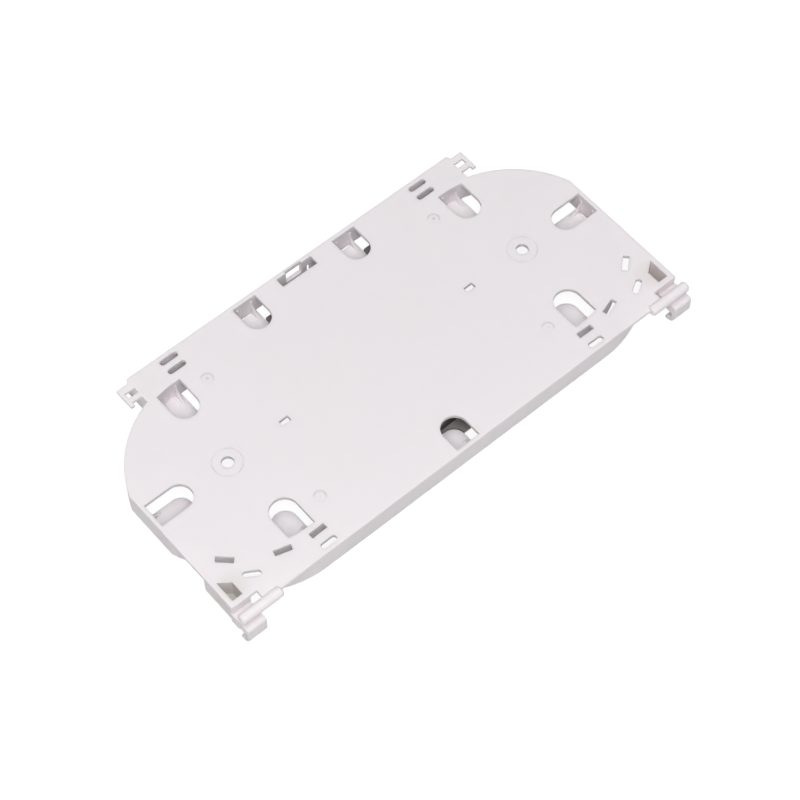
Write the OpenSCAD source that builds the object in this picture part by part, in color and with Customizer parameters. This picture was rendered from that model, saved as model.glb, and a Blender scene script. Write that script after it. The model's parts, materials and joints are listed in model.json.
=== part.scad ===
// Fibre splice tray: a shallow moulded tray that keeps loops of optical fibre around
// a comb for the splice sleeves. It lies on its rim with the underside of its base up.
// X runs along the tray, +Y points to the latch edge and the hinge edge faces -Y.
// The origin is under the middle of the overall outline, at the foot of the hooks.

/* [Tray] */
// Length of the moulding over its end walls
tray_len = 179.6; // [174:0.2:190]
// Distance from the line of the fixing holes to the latch edge
latch_reach = 43.3; // [42:0.1:50]
// Distance from the line of the fixing holes to the hinge edge
hinge_reach = 43.5; // [42:0.1:48]
// Height from the rim to the outer face of the base
tray_h = 8.6; // [7.5:0.1:14]
// Thickness of the base
base_t = 1.4; // [1:0.1:2.2]
// Thickness of the walls
wall_t = 1.4; // [1:0.1:2]
// Length of the wall along the latch edge
head_len = 131; // [124:0.5:136]

/* [Fibre loops] */
// Outer radius of the walls that the fibre turns against
loop_r = 37.25; // [35:0.25:39]
// Distance that the end walls cut into the circle of the loop
end_trim = 2.3; // [1:0.1:4]
// Offset of the loop centres from the line of the fixing holes
loop_dy = 3; // [1.5:0.1:4.5]
// Length of the straight lead-in at the inner end of each loop wall
loop_lead = 13; // [8:0.5:18]

/* [Retaining fingers] */
// Thickness of each finger, which lies at the level of the rim
finger_t = 0.9; // [0.7:0.1:1.5]
// Gap in plan between a finger and the edge of the opening above it
finger_gap = 0.4; // [0.2:0.05:0.8]
// Distance that each finger and gusset reaches into its wall
finger_foot = 0.4; // [0.2:0.1:0.8]
// Width of the openings on the straight walls
slot_w = 9; // [8:0.1:11]
// Width of the openings on the loop walls
loop_slot_w = 9.4; // [8:0.1:11]
// Length of the openings on the end walls
end_slot_len = 14.2; // [11:0.1:17]
// Length of the openings on the loop walls
loop_slot_len = 13.3; // [11:0.1:16]
// Length of the openings on the latch edge
latch_slot_len = 11.5; // [9:0.1:12]
// Length of the opening on the hinge edge
hinge_slot_len = 10.8; // [9:0.1:12]
// Distance of the latch edge openings from the middle of the tray
latch_slot_x = 20.3; // [16:0.1:24]
// Offset of the loop openings from the loop centres, away from the middle
loop_slot_dx = 2.8; // [0:0.1:5]
// Height of the gussets that carry a finger on its wall
gusset_h = 5.6; // [4:0.1:5.8]
// Thickness of the gussets
gusset_t = 0.9; // [0.6:0.1:1.4]
// Distance between the two gussets of a finger
gusset_gap = 5.6; // [4:0.1:6.5]
// Width of the gap between the root of a finger and a straight wall
relief_gap = 0.8; // [0.3:0.05:1]

/* [Fixing holes] */
// Diameter of the fixing holes
hole_d = 4; // [3:0.1:5]
// Distance between the fixing holes
hole_pitch = 120; // [110:0.5:130]
// Diameter of the shallow seat around each fixing hole
seat_d = 10; // [8:0.1:12]
// Depth of the seats and of the gate marks
seat_depth = 0.12; // [0.06:0.02:0.4]
// Size of the two small locating slots along and across the tray
key_size = [3.4, 2]; // [1:0.1:6]
// Distance of the locating slots from the middle of the tray
key_x = 37.6; // [34:0.1:42]
// Diameter of the gate marks
gate_d = 3.8; // [2.5:0.1:5]
// Distance of the gate marks from the middle of the tray
gate_x = 46.3; // [44:0.1:48]
// Distance of the gate marks from the line of the fixing holes
gate_y = 27.3; // [24:0.1:29]

/* [Tie slots] */
// Length of the slots around the loop walls
tie_len = 5.7; // [4.5:0.1:7]
// Width of every tie slot
tie_w = 2; // [1.5:0.1:2.5]
// Gap between the loop wall and the near row of slots
tie_gap = 0.6; // [0.4:0.1:1.2]
// Distance between the near and the far row of slots
tie_row = 5; // [3.6:0.1:5.6]
// Length of the slots beside the latch edge
latch_tie_len = 6.7; // [5:0.1:8]
// Distance of the latch edge slots from the middle of the tray
latch_tie_x = 50.9; // [45:0.1:56]
// Thickness of the bar between each pair of latch edge slots
tie_bar_t = 1.8; // [1.2:0.1:2.4]

/* [Side tabs] */
// Width of the label tabs beside the latch edge
tab_w = 5; // [4.6:0.1:7]
// Length of the tabs along the side of the head
tab_len = 7.6; // [6.8:0.1:8]
// Distance from the latch edge to the tabs
tab_drop = 1.5; // [1:0.1:2.4]
// Width of the leg along the outside of each tab
tab_leg = 1.4; // [1:0.1:2]
// Width of the bars across each tab
tab_bar = 2.4; // [1.8:0.1:2.6]
// Height of the notch in the foot of each tab
tab_foot = 1.3; // [0.6:0.1:1.6]
// Thickness of the tabs
tab_t = 1; // [0.8:0.1:1.4]

/* [Latch] */
// Width of the opening in the base behind the latch
latch_w = 14; // [12:0.1:20]
// Depth of that opening from the inner face of the wall
latch_open = 3.5; // [2:0.1:5]
// Thickness of the bar that is left along the latch edge above the window
latch_bar = 0.7; // [0.5:0.1:1]
// Width of the latch tongue, which has a slot on each side
tongue_w = 10.6; // [8:0.1:11]
// Distance from the outer face of the base to the top of those slots
slit_top = 3.8; // [3:0.1:5]
// Width of the window in the latch tongue
window_w = 6.4; // [4:0.1:7]
// Height of the window in the latch tongue
window_h = 3.9; // [2.5:0.1:4.5]
// Distance from the outer face of the base to the top of the window
window_top = 1.7; // [1.2:0.1:2.2]

/* [Hinge] */
// Diameter of the hinge rods
rod_d = 3.5; // [3:0.1:3.8]
// Length of each hinge rod
rod_len = 15.3; // [13:0.1:17]
// Projection of each rod beyond the end wall
rod_out = 0.4; // [0:0.1:1]
// Distance from the hinge edge to the axis of the rods
rod_reach = 0.45; // [0.2:0.05:0.8]
// Distance from the outer face of the base to the axis of the rods
rod_drop = 0.35; // [0:0.05:0.6]
// Bevel at both ends of the rods
rod_bevel = 0.5; // [0.2:0.1:0.8]
// Thickness of the web that carries the free part of each rod
rod_web = 1.2; // [0.8:0.1:1.4]
// Length of the notch in the corner of the base behind each rod
notch_len = 9.3; // [8:0.1:11]
// Width of that notch, from the hinge edge
notch_w = 4.1; // [3.4:0.1:5]
// Clearance between a rod and the hook that clips over it
hook_play = 0.05; // [0.02:0.01:0.15]
// Thickness of the hooks around their sockets
hook_t = 1.3; // [1:0.1:1.6]
// Length of each hook along the tray
hook_len = 6.9; // [5:0.1:8]
// Clearance under the hook of the next tray
hook_gap = 0.3; // [0.2:0.05:0.6]
// Radius along the front of the hooks
hook_round = 1; // [0.5:0.1:1.5]

/* [Corner blocks] */
// Size of each corner pocket along and across the tray
pocket_size = [3.7, 7.6]; // [2:0.1:10]
// Rise of the slanted end of each pocket
pocket_slant = 2.8; // [1:0.1:4]
// Distance between the pocket and the hinge side of its block
pocket_front = 1.9; // [1.2:0.1:3]
// Thickness of the floor that closes each pocket
pocket_floor = 1.2; // [0.8:0.1:2]
// Length of the straight wall beside the cable entry
entry_wall = 12.8; // [8:0.1:15]
// Outer radius of the curl that leads the cable in
curl_r = 3; // [2:0.1:4]

/* [Splice holder] */
// Width of the splice holder along the fibres
holder_w = 60; // [56:0.5:64]
// Thickness of its base plate
holder_t = 1.2; // [0.8:0.1:2]
// Number of splice channels
channels = 12; // [8:1:12]
// Distance from one channel to the next
channel_pitch = 4.9; // [4.2:0.05:4.9]
// Distance that the comb is set off from the line of the fixing holes, towards the hinge
holder_dy = 0.35; // [0:0.05:0.5]
// Thickness of the ribs
rib_t = 1.7; // [1.2:0.1:1.8]
// Height of the ribs between the channels
rib_h = 4.8; // [3:0.1:5.6]
// Diameter of the bead along the top of each rib
bead_d = 2.2; // [1.8:0.1:2.6]
// Width of the two gaps that split each rib into three
rib_break = 6; // [4:0.1:9]
// Thickness of the ledges that reach in between the fingers
ledge_t = 1.2; // [0.8:0.1:1.6]
// Distance from the line of the fixing holes to the edge of the ledge on the latch side
latch_ledge = 36.9; // [34:0.1:38]
// Distance from the line of the fixing holes to the edge of the ledge on the hinge side
hinge_ledge = 35.4; // [34:0.1:38]

/* [Hidden] */
$fn = 72;
eps = 0.01;
// colours of the two mouldings
tray_colour = [0.9, 0.88, 0.87];
holder_colour = [0.12, 0.12, 0.12];
// half lengths of the tray and of its head
half = tray_len / 2;
head = head_len / 2;
// centre line of the loops and the corner where they meet the end wall
loop_x = half + end_trim - loop_r;
// hinge rods
rod_r = rod_d / 2;
rod_x1 = half + rod_out;
rod_x0 = rod_x1 - rod_len;
rod_y = -hinge_reach - rod_reach;
rod_z = tray_h - rod_drop;
// small steps by which neighbouring faces at the corners are set off
corner_step = 0.2;
// hooks, whose sockets lie one tray height below the rods
bore_r = rod_r + hook_play;
hook_r = bore_r + hook_t;
hook_z = rod_z - tray_h;
hook_x1 = half + corner_step;
hook_x0 = hook_x1 - hook_len;
front_y = rod_y - hook_r;
arm_top = rod_z - hook_r - hook_gap;
// notch in the corner of the base
notch_y = -hinge_reach + notch_w;
notch_x0 = half - notch_len;
// distance from the axis of a rod to the web that carries its free part
web_dy = 0.4;
// shift that puts the middle of the outline and the lowest point at the origin
mid_y = -(front_y + latch_reach) / 2;
rim_z = hook_r - hook_z;
// heights of the features, measured from the rim
base_z = tray_h - base_t;
// thickness of a gusset at its top, and how far its curve dips below the finger
gusset_foot = 0.3;
gusset_sink = 0.2;
// inner faces of the straight walls
latch_in = latch_reach - wall_t;
hinge_in = hinge_reach - wall_t;
end_in = half - wall_t;
// crown of the inner face of the loop walls, from the line of the fixing holes
crown = loop_r - wall_t - loop_dy;
// foot of the head's side walls, on the middle of the loop walls
side_foot = sqrt(pow(loop_r - wall_t / 2, 2) - pow(head - wall_t / 2 - loop_x, 2)) - loop_dy;
// groove of the seats and the raised point in the gate marks
groove_w = 0.25;
gate_point = 1;
// corner pocket
block_t = 1.4;
block_x1 = half - corner_step;
pocket_x1 = block_x1 - block_t - corner_step;
pocket_x0 = pocket_x1 - pocket_size[0];
pocket_y0 = notch_y + pocket_front;
pocket_y1 = pocket_y0 + pocket_size[1];
// start, end and outer radius of the curved ends of the hinge edge wall
curl_x0 = 57;
curl_x1 = 72.3;
edge_r = 36;
// angle that the curl beside the cable entry turns through
curl_turn = 65;
// centre lines of the tie slots
near_r = loop_r + tie_gap + tie_w / 2;
far_r = near_r + tie_row;
near_angles = [-47, -73, -91];
far_angles = [-58, -91];
tie_step = tie_w + tie_bar_t + 0.3;
latch_tie_y = latch_in - 0.1 - tie_w / 2;
// distance that the bar between the latch edge slots runs on past them
tie_bar_over = 2;
// splice holder, between the outer faces of its outer ribs
holder_len = channels * channel_pitch + rib_t;
holder_z = base_z - holder_t;

// a feature and its mirror image at the other end of the tray
module both_ends() {
    children();
    mirror([1, 0, 0]) children();
}

// area inside one loop: a circle cut off by the end wall
module loop_area(r, limit, dy) {
    intersection() {
        translate([loop_x, dy]) circle(r, $fn = 160);
        translate([loop_x, -loop_r - loop_dy - 1])
            square([limit - loop_x, 2 * (loop_r + loop_dy + 1)]);
    }
}

// half of a loop wall, from the middle of the end wall round to the lead-in;
// side is 1 towards the latch edge and -1 towards the hinge edge
module loop_wall(side) {
    mirror([0, side > 0 ? 0 : 1]) {
        intersection() {
            difference() {
                loop_area(loop_r, half, -loop_dy);
                loop_area(loop_r - wall_t, end_in, -loop_dy);
            }
            translate([loop_x, 0]) square([half, latch_reach]);
        }
        translate([loop_x - loop_lead, crown]) square([loop_lead, wall_t]);
        translate([loop_x - loop_lead, crown + wall_t / 2]) circle(wall_t / 2);
    }
}

// wall along the hinge edge, which curls in at both ends
module hinge_wall() {
    translate([-curl_x0, -hinge_reach]) square([2 * curl_x0, wall_t]);
    curl_y = edge_r - hinge_reach;
    tip_r = edge_r - wall_t / 2;
    tip_a = asin((curl_x1 - curl_x0) / tip_r);
    both_ends() {
        intersection() {
            translate([curl_x0, curl_y]) difference() {
                circle(edge_r, $fn = 160);
                circle(edge_r - wall_t, $fn = 160);
            }
            translate([curl_x0, -hinge_reach]) square([curl_x1 - curl_x0, edge_r]);
        }
        translate([curl_x0 + tip_r * sin(tip_a), curl_y - tip_r * cos(tip_a)]) circle(wall_t / 2);
    }
}

// wall along the latch edge and down both sides of the head
module latch_wall() {
    translate([-head, latch_in]) square([head_len, wall_t]);
    both_ends() translate([head - wall_t, side_foot])
        square([wall_t, latch_reach - side_foot]);
}

// outline of a corner block around its pocket
module block_area() {
    grow = block_t;
    polygon([
        [pocket_x0 - grow, notch_y],
        [block_x1, notch_y],
        [block_x1, pocket_y1 + grow],
        [pocket_x0 - grow, pocket_y1 - pocket_slant + grow / 2]
    ]);
}

// wall of a corner block along the end of the tray, with the curl beside the cable entry
module entry_wall_area() {
    top = notch_y + entry_wall;
    translate([block_x1 - wall_t, notch_y]) square([wall_t, entry_wall]);
    intersection() {
        translate([block_x1 - curl_r, top]) difference() {
            circle(curl_r);
            circle(curl_r - wall_t);
        }
        translate([block_x1 - curl_r, top]) rotate(curl_turn) mirror([0, 1])
            square([2 * curl_r, 2 * curl_r]);
        translate([block_x1 - curl_r, top]) square([curl_r + 1, curl_r + 1]);
    }
}

// outline of the base
module base_area() {
    translate([-head, 0]) square([head_len, latch_reach]);
    translate([-half, notch_y]) square([tray_len, -notch_y]);
    translate([-notch_x0, -hinge_reach]) square([2 * notch_x0, hinge_reach]);
    both_ends() translate([rod_x0 + rod_bevel, rod_y])
        square([notch_x0 - rod_x0 - rod_bevel, -rod_y]);
    both_ends() {
        intersection() {
            loop_area(loop_r, half, -loop_dy);
            square([half, latch_reach]);
        }
    }
}

// opening above a finger, from the foot of the wall at the origin out along +Y
module finger_slot(w, len) {
    translate([-w / 2, -finger_foot]) square([w, len - w / 2 + finger_foot]);
    translate([0, len - w / 2]) circle(w / 2);
}

// places a child at the foot of every finger of one kind
module each_finger(kind) {
    if (kind == "loop")
        both_ends() {
            translate([loop_x + loop_slot_dx, crown]) rotate(180) children();
            translate([loop_x + loop_slot_dx, -crown]) children();
        }
    if (kind == "end")
        both_ends() translate([end_in, 0]) rotate(90) children();
    if (kind == "latch")
        both_ends() translate([latch_slot_x, latch_in]) rotate(180) children();
    if (kind == "hinge")
        translate([0, -hinge_in]) children();
}

// every finger opening in the base
module finger_slots() {
    each_finger("loop") finger_slot(loop_slot_w, loop_slot_len);
    each_finger("end") finger_slot(slot_w, end_slot_len);
    each_finger("latch") finger_slot(slot_w, latch_slot_len);
    each_finger("hinge") finger_slot(slot_w, hinge_slot_len);
}

// side view of a gusset, from the foot in the wall out along the finger
module gusset_profile() {
    difference() {
        translate([-finger_foot, 0]) square([gusset_h + finger_foot, gusset_h]);
        translate([gusset_h + gusset_foot + gusset_sink, gusset_h]) circle(gusset_h + gusset_sink);
    }
}

// one finger at the level of the rim with its two gussets; on a straight wall
// its root is cut free between the gussets
module finger(w, len, straight) {
    relief_w = gusset_gap - gusset_t;
    linear_extrude(finger_t) difference() {
        finger_slot(w - 2 * finger_gap, len - finger_gap);
        if (straight)
            translate([-relief_w / 2, 0]) square([relief_w, relief_gap]);
    }
    for (side = [-1, 1])
        translate([side * gusset_gap / 2 - gusset_t / 2, 0, finger_t - eps])
            rotate([90, 0, 90]) linear_extrude(gusset_t) gusset_profile();
}

// every finger
module fingers() {
    each_finger("loop") finger(loop_slot_w, loop_slot_len, false);
    each_finger("end") finger(slot_w, end_slot_len, true);
    each_finger("latch") finger(slot_w, latch_slot_len, true);
    each_finger("hinge") finger(slot_w, hinge_slot_len, true);
}

// one tie slot with straight or round ends
module tie_slot(len, round_end) {
    if (round_end) {
        square([len - tie_w, tie_w], center = true);
        for (side = [-1, 1])
            translate([side * (len - tie_w) / 2, 0]) circle(tie_w / 2);
    } else {
        square([len, tie_w], center = true);
    }
}

// every tie slot in the base
module tie_slots() {
    both_ends() {
        for (a = near_angles)
            translate([loop_x, loop_dy]) rotate(a) translate([near_r, 0]) rotate(90)
                tie_slot(tie_len, false);
        for (a = far_angles)
            translate([loop_x, loop_dy]) rotate(a) translate([far_r, 0]) rotate(90)
                tie_slot(tie_len, true);
        for (row = [0, 1])
            translate([latch_tie_x, latch_tie_y - row * tie_step])
                tie_slot(latch_tie_len, true);
    }
}

// label tab beside the head: a ladder of two bars and a leg, open at its foot
module tab() {
    top = latch_reach - tab_drop;
    foot = top - tab_len;
    middle_bar = tab_bar * 0.75;
    hole = tab_len - tab_bar - middle_bar - tab_foot;
    difference() {
        translate([head - wall_t / 2, foot]) square([tab_w + wall_t / 2, tab_len]);
        translate([head, foot - 1]) square([tab_w - tab_leg, tab_foot + 1]);
        translate([head, foot + tab_foot + middle_bar]) square([tab_w - tab_leg, hole]);
    }
    polygon([[head, top], [head + tab_drop / 2, top], [head, latch_reach]]);
}

// everything cut through the base and nothing else
module base_cuts() {
    finger_slots();
    tie_slots();
    both_ends() {
        translate([key_x, 0]) square(key_size, center = true);
        pocket_area();
    }
    translate([-latch_w / 2, latch_in - latch_open]) square([latch_w, latch_open]);
}

// plan of a corner pocket
module pocket_area() {
    polygon([
        [pocket_x0, pocket_y0],
        [pocket_x1, pocket_y0],
        [pocket_x1, pocket_y1],
        [pocket_x0, pocket_y1 - pocket_slant]
    ]);
}

// walls that stand on the rim, and the bars between the slots beside the latch edge
module walls() {
    linear_extrude(tray_h) {
        both_ends() {
            loop_wall(1);
            loop_wall(-1);
            entry_wall_area();
            translate([latch_tie_x, latch_tie_y - tie_step / 2])
                square([latch_tie_len + 2 * tie_bar_over, tie_bar_t], center = true);
        }
        hinge_wall();
        latch_wall();
    }
}

// hinge rod with bevelled ends, and the web below its free part
module rod() {
    translate([rod_x0, rod_y, rod_z]) rotate([0, 90, 0]) rotate_extrude() polygon([
        [0, 0],
        [rod_r - rod_bevel, 0],
        [rod_r, rod_bevel],
        [rod_r, rod_len - rod_bevel],
        [rod_r - rod_bevel, rod_len],
        [0, rod_len]
    ]);
    translate([hook_x0, rod_y + web_dy, arm_top - 1])
        cube([hook_len - rod_bevel, rod_web, rod_z - arm_top + 1]);
}

// side view of a hook and of the arm that carries it, with Y to the right
module hook_profile() {
    difference() {
        union() {
            intersection() {
                translate([rod_y, hook_z]) circle(hook_r);
                translate([front_y, hook_z - hook_r]) square([hook_r, 2 * hook_r]);
            }
            translate([front_y, hook_z]) square([hook_r, arm_top - hook_round - hook_z]);
            translate([front_y + hook_round, 0])
                square([notch_y - front_y - hook_round + 0.5, arm_top]);
            translate([front_y + hook_round, arm_top - hook_round]) circle(hook_round);
            translate([rod_y, hook_z - bore_r - hook_t / 2]) circle(hook_t / 2);
        }
        translate([rod_y, hook_z]) circle(bore_r);
    }
}

// hook for the rod of the next tray
module hook() {
    translate([hook_x0, 0, 0]) rotate([90, 0, 90]) linear_extrude(hook_len) hook_profile();
}

// slots beside the latch tongue and the window in it, which runs up behind the bar
module latch_cuts() {
    slit_w = (latch_w - tongue_w) / 2;
    for (side = [-1, 1])
        translate([side * (tongue_w + slit_w) / 2 - slit_w / 2, latch_in - 1, -1])
            cube([slit_w, wall_t + 2, tray_h - slit_top + 1]);
    translate([-window_w / 2, latch_in - 1, tray_h - window_top - window_h])
        cube([window_w, wall_t + 2, window_h]);
    translate([-window_w / 2, latch_in - 1, tray_h - window_top - 1])
        cube([window_w, wall_t + 1 - latch_bar, window_top + 2]);
}

// shallow round marks in the outer face of the base
module seats() {
    both_ends() {
        translate([hole_pitch / 2, 0, tray_h - seat_depth]) difference() {
            cylinder(d = seat_d, h = seat_depth + 1);
            translate([0, 0, -1]) cylinder(d = seat_d - 2 * groove_w, h = seat_depth + 3);
        }
        for (side = [-1, 1])
            translate([gate_x, side * gate_y, tray_h - seat_depth]) difference() {
                cylinder(d = gate_d, h = seat_depth + 1);
                translate([0, 0, -1]) cylinder(d = gate_point, h = 1 + seat_depth * 0.7);
            }
    }
}

module tray() {
    color(tray_colour) translate([0, mid_y, rim_z]) {
        difference() {
            union() {
                translate([0, 0, base_z]) linear_extrude(base_t) difference() {
                    base_area();
                    base_cuts();
                }
                walls();
                both_ends() {
                    linear_extrude(tray_h) difference() {
                        block_area();
                        pocket_area();
                    }
                    linear_extrude(pocket_floor) block_area();
                    translate([0, 0, tray_h - tab_t]) linear_extrude(tab_t) tab();
                    rod();
                    hook();
                }
            }
            both_ends() translate([hole_pitch / 2, 0, base_z - 1])
                cylinder(d = hole_d, h = base_t + 2);
            latch_cuts();
            seats();
        }
        fingers();
    }
}

// one rib of the comb, split in three, with a bead that holds the sleeves in
module rib(y) {
    piece = (holder_w - 2 * rib_break) / 3;
    for (i = [0:2])
        translate([-holder_w / 2 + i * (piece + rib_break), y, holder_z - rib_h]) {
            translate([0, -rib_t / 2, bead_d / 2]) cube([piece, rib_t, rib_h - bead_d / 2 + eps]);
            translate([0, 0, bead_d / 2]) rotate([0, 90, 0]) cylinder(d = bead_d, h = piece);
        }
}

// plan of the ledges outside the comb, with a notch around each finger
module ledge_area() {
    comb = holder_len / 2 - rib_t;
    difference() {
        translate([-holder_w / 2, -hinge_ledge]) square([holder_w, hinge_ledge + latch_ledge]);
        translate([-holder_w, -comb - holder_dy]) square([2 * holder_w, 2 * comb]);
        each_finger("latch") finger_slot(slot_w, latch_slot_len);
        each_finger("hinge") finger_slot(slot_w, hinge_slot_len);
    }
}

module splice_holder() {
    color(holder_colour) translate([0, mid_y, rim_z]) {
        translate([0, -holder_dy, 0]) {
            translate([-holder_w / 2, -holder_len / 2, holder_z])
                cube([holder_w, holder_len, holder_t]);
            for (i = [1:channels - 1])
                rib((i - channels / 2) * channel_pitch);
            for (side = [-1, 1])
                translate([-holder_w / 2, side * (holder_len - rib_t) / 2 - rib_t / 2, 0])
                    cube([holder_w, rib_t, base_z]);
        }
        linear_extrude(ledge_t) ledge_area();
    }
}

tray();
splice_holder();
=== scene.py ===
"""Fibre splice tray with its comb for splice sleeves, lying with the underside of its base up."""
import json

import bpy
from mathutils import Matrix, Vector


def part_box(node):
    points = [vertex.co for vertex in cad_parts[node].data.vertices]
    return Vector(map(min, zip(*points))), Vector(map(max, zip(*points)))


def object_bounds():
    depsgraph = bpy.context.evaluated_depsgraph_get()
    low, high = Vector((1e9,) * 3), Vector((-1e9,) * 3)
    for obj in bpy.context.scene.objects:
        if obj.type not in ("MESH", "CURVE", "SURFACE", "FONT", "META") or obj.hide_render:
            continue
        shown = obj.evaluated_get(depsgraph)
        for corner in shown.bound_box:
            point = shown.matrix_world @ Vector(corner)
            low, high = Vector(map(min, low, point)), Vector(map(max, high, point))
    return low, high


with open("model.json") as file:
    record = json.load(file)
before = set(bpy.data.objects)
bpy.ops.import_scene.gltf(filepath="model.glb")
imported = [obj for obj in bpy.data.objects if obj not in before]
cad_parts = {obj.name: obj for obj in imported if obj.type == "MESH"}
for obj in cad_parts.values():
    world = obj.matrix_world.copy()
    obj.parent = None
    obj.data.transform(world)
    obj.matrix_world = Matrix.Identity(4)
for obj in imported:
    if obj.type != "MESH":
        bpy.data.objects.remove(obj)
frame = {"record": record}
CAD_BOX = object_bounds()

MM = 0.001
MOUNTS = {mount["name"]: mount for mount in frame["record"]["mounts"]}

# colours, as linear RGB
WHITE_PLASTIC = (0.940, 0.864, 0.895)
COOL_PLASTIC = (0.928, 0.872, 0.892)
# painted shade in the seats' rings and on one side of the gate marks, and the colour of the
# darker dot in the latch-side gate marks
MARK_SHADE = (0.76, 0.69, 0.715)
# painted shade: the corner pockets darker and warmer than the rest of the plastic
POCKET_SHADE = (0.72, 0.70, 0.655)
BLACK_PLASTIC = (0.016, 0.014, 0.014)
# painted light: a paler black for the comb's lit ledges and ribs' ends
LIT_LEDGE_BLACK = (0.25, 0.23, 0.227)
WHITE_LIGHT = (1.0, 1.0, 1.0)
# what the floor sends back to the tray, and how much of a shadow shows on it
GREY_CARD = (0.74, 0.74, 0.74)
SHADOW_CARD = (0.25, 0.25, 0.25)

# the middles of the two seats, of the four gate marks and of the two corner pockets
HOLE_LINE = MOUNTS["fixing_holes"]["pos_m"][1]
HOLE_REACH = MOUNTS["fixing_holes"]["dims"]["spacing_x_mm"] / 2 * MM
SEATS = [(x, HOLE_LINE) for x in (-HOLE_REACH, HOLE_REACH)]
GATE_MARKS = [(x * MM, y * MM) for x in (-46.3, 46.3) for y in (-25.42, 29.18)]
POCKET_MIDDLES = [(x * MM, -31.8 * MM, 7 * MM) for x in (-84.6, 84.6)]

# heights between which the marks on the outer face of the base fade in
BASE_FACE = MOUNTS["base_face"]["pos_m"][2]
BASE_SKIN = (BASE_FACE - 0.45 * MM, BASE_FACE - 0.25 * MM)
# radius and half width of the ring of painted shade in a seat and in a gate mark
SEAT_RING = (4.9 * MM, 0.35 * MM)
GATE_RING = (1.9 * MM, 0.5 * MM)
# distance over which a gate mark's ring of painted shade fades away to one side, and the darker
# dot in its middle
GATE_FADE = 1.2 * MM
GATE_DOT = (0.3 * MM, 0.7 * MM)
# distances from a pocket's middle between which its painted shade, darker and warmer, fades out,
# and its strength
POCKET_SHADE_FADE = (2.5 * MM, 8 * MM)
POCKET_SHADE_STRENGTH = 0.8
# height of the comb's ledges above its lowest point, and where the painted light on them fades
# out
LEDGE_H = 1.2 * MM
LEDGE_LIGHT_FADE = (0.1 * MM, 0.5 * MM)

# grain sizes of the noise in the two plastics
FLOW_GRAIN = 28 * MM
GLOSS_GRAIN = 9 * MM
SEAT_SHADE_GRAIN = 4 * MM
LEDGE_LIGHT_GRAIN = 3 * MM
WHITE_GRAIN = 0.35 * MM
BLACK_GRAIN = 0.3 * MM
GRAIN_DEPTH = 0.03 * MM
EDGE_R = 0.16 * MM
EDGE_SAMPLES = 6

# roughness from the glossiest to the dullest place
WHITE_ROUGHNESS = (0.5, 0.6)
BLACK_ROUGHNESS = (0.34, 0.62)
FLOOR_ROUGHNESS = 0.9

# how light soaks into the white plastic
WHITE_SPECULAR = 0.3
SOAK_WEIGHT = 0.6
SOAK_RADIUS = (1.0, 0.9, 0.88)
SOAK_SCALE = 2.0 * MM

CAMERA_PLACE = Vector((-257.17, -308.554, 653.84)) * MM
CAMERA_TARGET = Vector((-6.166, -15.438, 12.05)) * MM
LENS = 109.707
SENSOR = 36

FLOOR_REACH = 3.0
FLOOR_GAP = 0.05 * MM
FLOOR_GLOW = 0.88
HOOK_LINE = MOUNTS["hook_right"]["pos_m"][1]
SKY_LEVEL = 0.22


class Finish:
    """A short way to write a material's node tree."""

    def __init__(self, name):
        self.material = bpy.data.materials.new(name)
        self.material.use_nodes = True
        self.tree = self.material.node_tree
        self.shader = self.tree.nodes["Principled BSDF"]
        self.place = self.add("ShaderNodeTexCoord").outputs["Object"]

    def add(self, kind, inputs=None, **settings):
        node = self.tree.nodes.new(kind)
        for key, value in settings.items():
            setattr(node, key, value)
        for key, value in (inputs or {}).items():
            self.feed(node.inputs[key], value)
        return node

    def feed(self, socket, value):
        """Join a socket to another node's output, or set it to a plain value."""
        if isinstance(value, bpy.types.NodeSocket):
            self.tree.links.new(value, socket)
        else:
            socket.default_value = value

    def noise(self, grain, detail=2.0, roughness=0.5):
        """Noise with a given size of grain, in metres."""
        node = self.add("ShaderNodeTexNoise", {
            "Vector": self.place, "Scale": 1 / grain,
            "Detail": detail, "Roughness": roughness})
        return node.outputs["Fac"]

    def ramp(self, value, low, high, start=0.0, end=1.0):
        """From start to end while a value goes from low to high."""
        node = self.add("ShaderNodeMapRange", {
            "Value": value, "From Min": low, "From Max": high,
            "To Min": start, "To Max": end})
        return node.outputs["Result"]

    def combine(self, a, b, operation):
        return self.add("ShaderNodeMath", {0: a, 1: b}, operation=operation).outputs[0]

    def both(self, a, b):
        return self.combine(a, b, "MULTIPLY")

    def either(self, a, b):
        return self.combine(a, b, "MAXIMUM")

    def band(self, value, middle, half_width):
        """1 on the middle, falling to 0 half a width away on both sides."""
        rise = self.ramp(value, middle - half_width, middle)
        fall = self.ramp(value, middle, middle + half_width, 1.0, 0.0)
        return self.combine(rise, fall, "MINIMUM")

    def vector(self, a, b, operation, output):
        node = self.add("ShaderNodeVectorMath", {0: a, 1: b}, operation=operation)
        return node.outputs[output]

    def distance(self, place, middle):
        return self.vector(place, middle, "DISTANCE", "Value")

    def height(self):
        return self.add("ShaderNodeSeparateXYZ", {0: self.place}).outputs["Z"]

    def mix(self, factor, a, b):
        """Blend from colour a to colour b, each a plain colour or another node's output."""
        node = self.add("ShaderNodeMix", data_type="RGBA")
        for key, value in (("Factor", factor), ("A", a), ("B", b)):
            socket = next(s for s in node.inputs if s.name == key and s.enabled)
            self.feed(socket, (*value, 1) if isinstance(value, tuple) else value)
        return next(s for s in node.outputs if s.enabled)

    def link(self, source, socket):
        self.tree.links.new(source, self.shader.inputs[socket])

    def set(self, socket, value):
        self.shader.inputs[socket].default_value = value

    def skin(self, grain, strength):
        """Softened edges under a fine eroded grain."""
        edges = self.add("ShaderNodeBevel", {"Radius": EDGE_R}, samples=EDGE_SAMPLES)
        bumps = self.add("ShaderNodeBump", {
            "Height": self.noise(grain, 3.0, 0.6), "Strength": strength,
            "Distance": GRAIN_DEPTH, "Normal": edges.outputs["Normal"]})
        self.link(bumps.outputs["Normal"], "Normal")


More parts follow.
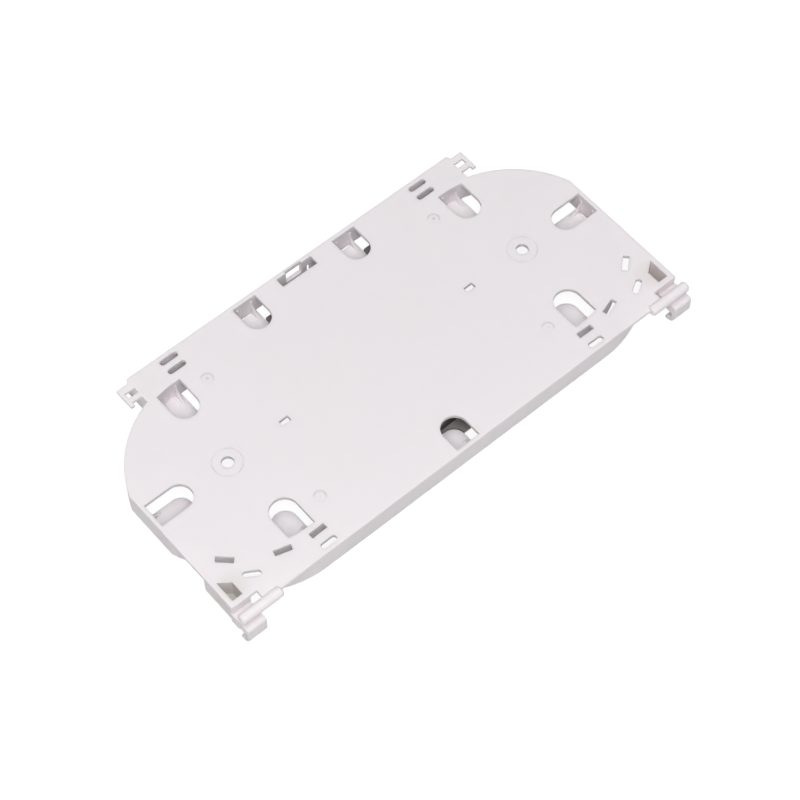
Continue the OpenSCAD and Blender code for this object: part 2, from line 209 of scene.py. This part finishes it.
def seat_shade(f, flat, middle):
    """Broken ring of painted shade in the corner of a seat."""
    ring = f.band(f.distance(flat, middle), *SEAT_RING)
    return f.both(ring, f.ramp(f.noise(SEAT_SHADE_GRAIN), 0.4, 0.6, 0.0, 0.6))


def gate_shade(f, flat, middle):
    """Half a ring of painted shade on one side of a gate mark, and a darker dot in the middle of
    those on the latch side.
    """
    x, y, _ = middle
    away = f.distance(flat, middle)
    across = f.vector(f.place, (1, 1, 0), "DOT_PRODUCT", "Value")
    side = f.ramp(across, x + y - GATE_FADE, x + y + GATE_FADE)
    painted_shade = f.both(f.band(away, *GATE_RING), side)
    return f.either(painted_shade, f.ramp(away, *GATE_DOT, 1.0, 0.0)) if y > 0 else painted_shade


def white_moulding():
    """Satin white plastic: faint flow marks, painted shade making the corner pockets darker and
    warmer, painted shade in the seats' rings and on one side of the gate marks, a fine eroded
    grain, soft edges.
    """
    f = Finish("white_moulding")
    flow = f.ramp(f.noise(FLOW_GRAIN, 3.0, 0.55), 0.35, 0.65)
    colour = f.mix(flow, COOL_PLASTIC, WHITE_PLASTIC)
    for middle in POCKET_MIDDLES:
        # painted shade, darker and warmer, towards each corner pocket's middle
        pocket_shade = f.ramp(f.distance(f.place, middle), *POCKET_SHADE_FADE, POCKET_SHADE_STRENGTH, 0.0)
        colour = f.mix(pocket_shade, colour, POCKET_SHADE)
    on_base = f.ramp(f.height(), *BASE_SKIN)
    flat = f.vector(f.place, (1, 1, 0), "MULTIPLY", 0)
    # painted shade in the seats' rings and on one side of the gate marks, on the base's outer
    # face only
    for painted_shade, marks in ((seat_shade, SEATS), (gate_shade, GATE_MARKS)):
        for x, y in marks:
            colour = f.mix(f.both(painted_shade(f, flat, (x, y, 0)), on_base), colour, MARK_SHADE)
    f.link(colour, "Base Color")
    f.link(f.ramp(f.noise(GLOSS_GRAIN, 4.0), 0.3, 0.7, *WHITE_ROUGHNESS), "Roughness")
    f.set("Specular IOR Level", WHITE_SPECULAR)
    f.set("Subsurface Weight", SOAK_WEIGHT)
    f.set("Subsurface Radius", SOAK_RADIUS)
    f.set("Subsurface Scale", SOAK_SCALE)
    f.skin(WHITE_GRAIN, 0.25)
    return f.material


def black_moulding():
    """Satin black plastic of the comb, with painted light making its ledges and its ribs' ends
    paler than its walls, mottled by noise.
    """
    f = Finish("black_moulding")
    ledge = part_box("splice_holder")[0][2] + LEDGE_H
    # painted light on everything up to the ledges' height, mottled by noise
    low = f.ramp(f.height(), ledge + LEDGE_LIGHT_FADE[0], ledge + LEDGE_LIGHT_FADE[1], 1.0, 0.0)
    lit_ledges = f.both(low, f.ramp(f.noise(LEDGE_LIGHT_GRAIN, 4.0, 0.6), 0.3, 0.7, 0.8, 1.0))
    f.link(f.mix(lit_ledges, BLACK_PLASTIC, LIT_LEDGE_BLACK), "Base Color")
    f.link(f.ramp(lit_ledges, 0, 1, *BLACK_ROUGHNESS), "Roughness")
    f.skin(BLACK_GRAIN, 0.15)
    return f.material


def pale_floor():
    """Floor that looks white where light reaches it, and keeps the tray's shadow."""
    f = Finish("pale_floor")
    f.set("Base Color", (*GREY_CARD, 1))
    f.set("Roughness", FLOOR_ROUGHNESS)
    ray = f.add("ShaderNodeLightPath").outputs
    mirrored = f.either(ray["Is Camera Ray"], ray["Is Glossy Ray"])
    seen = f.either(mirrored, ray["Is Transmission Ray"])
    card = f.add("ShaderNodeBsdfDiffuse", {"Color": (*SHADOW_CARD, 1)}).outputs[0]
    glow = f.add("ShaderNodeEmission", {
        "Color": (*WHITE_LIGHT, 1), "Strength": FLOOR_GLOW}).outputs[0]
    shown = f.add("ShaderNodeAddShader", {0: card, 1: glow}).outputs[0]
    pick = f.add("ShaderNodeMixShader", {0: seen, 1: f.shader.outputs[0], 2: shown})
    f.tree.links.new(pick.outputs[0], f.tree.nodes["Material Output"].inputs["Surface"])
    return f.material


def dress(node, material):
    for slot in bpy.data.objects[node].material_slots:
        slot.material = material


def aim_at(thing, place, target):
    thing.location = place
    thing.rotation_mode = "QUATERNION"
    aim = Vector(target) - Vector(place)
    thing.rotation_quaternion = aim.to_track_quat("-Z", "Y")
    bpy.context.collection.objects.link(thing)


def camera():
    data = bpy.data.cameras.new("camera")
    data.sensor_width = SENSOR
    data.lens = LENS
    cam = bpy.data.objects.new("camera", data)
    aim_at(cam, CAMERA_PLACE, CAMERA_TARGET)
    bpy.context.scene.camera = cam


def lamp(name, place, target, size, power):
    data = bpy.data.lights.new(name, "AREA")
    data.shape = "SQUARE"
    data.size = size
    data.energy = power
    aim_at(bpy.data.objects.new(name, data), place, target)


def floor():
    """The tray rests on its two hooks and its latch edge's rim, so the floor slopes to both."""
    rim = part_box("splice_holder")[0][2]
    slope = rim / (CAD_BOX[1][1] - HOOK_LINE)
    reach = FLOOR_REACH
    corners = [(x, y, (y - HOOK_LINE) * slope - FLOOR_GAP)
               for x, y in ((-reach, -reach), (reach, -reach), (reach, reach), (-reach, reach))]
    mesh = bpy.data.meshes.new("floor")
    mesh.from_pydata(corners, [], [(0, 1, 2, 3)])
    mesh.materials.append(pale_floor())
    ground = bpy.data.objects.new("floor", mesh)
    bpy.context.collection.objects.link(ground)


def sky():
    """Even white light from all round, which looks white itself."""
    world = bpy.data.worlds.new("studio")
    bpy.context.scene.world = world
    world.use_nodes = True
    tree = world.node_tree
    back = tree.nodes["Background"]
    back.inputs["Color"].default_value = (*WHITE_LIGHT, 1)
    ray = tree.nodes.new("ShaderNodeLightPath").outputs
    level = tree.nodes.new("ShaderNodeMath")
    level.operation = "MAXIMUM"
    tree.links.new(ray["Is Camera Ray"], level.inputs[0])
    level.inputs[1].default_value = SKY_LEVEL
    tree.links.new(level.outputs[0], back.inputs["Strength"])


dress("tray", white_moulding())
dress("splice_holder", black_moulding())
camera()
floor()
sky()
lamp("overhead", place=(0, 0.1, 1.1), target=(0, 0, 0), size=0.7, power=3.2)
lamp("front", place=(-0.31, -0.44, 0.95), target=(0, 0, 0), size=0.7, power=7.1)
bpy.context.scene.view_settings.view_transform = "Standard"
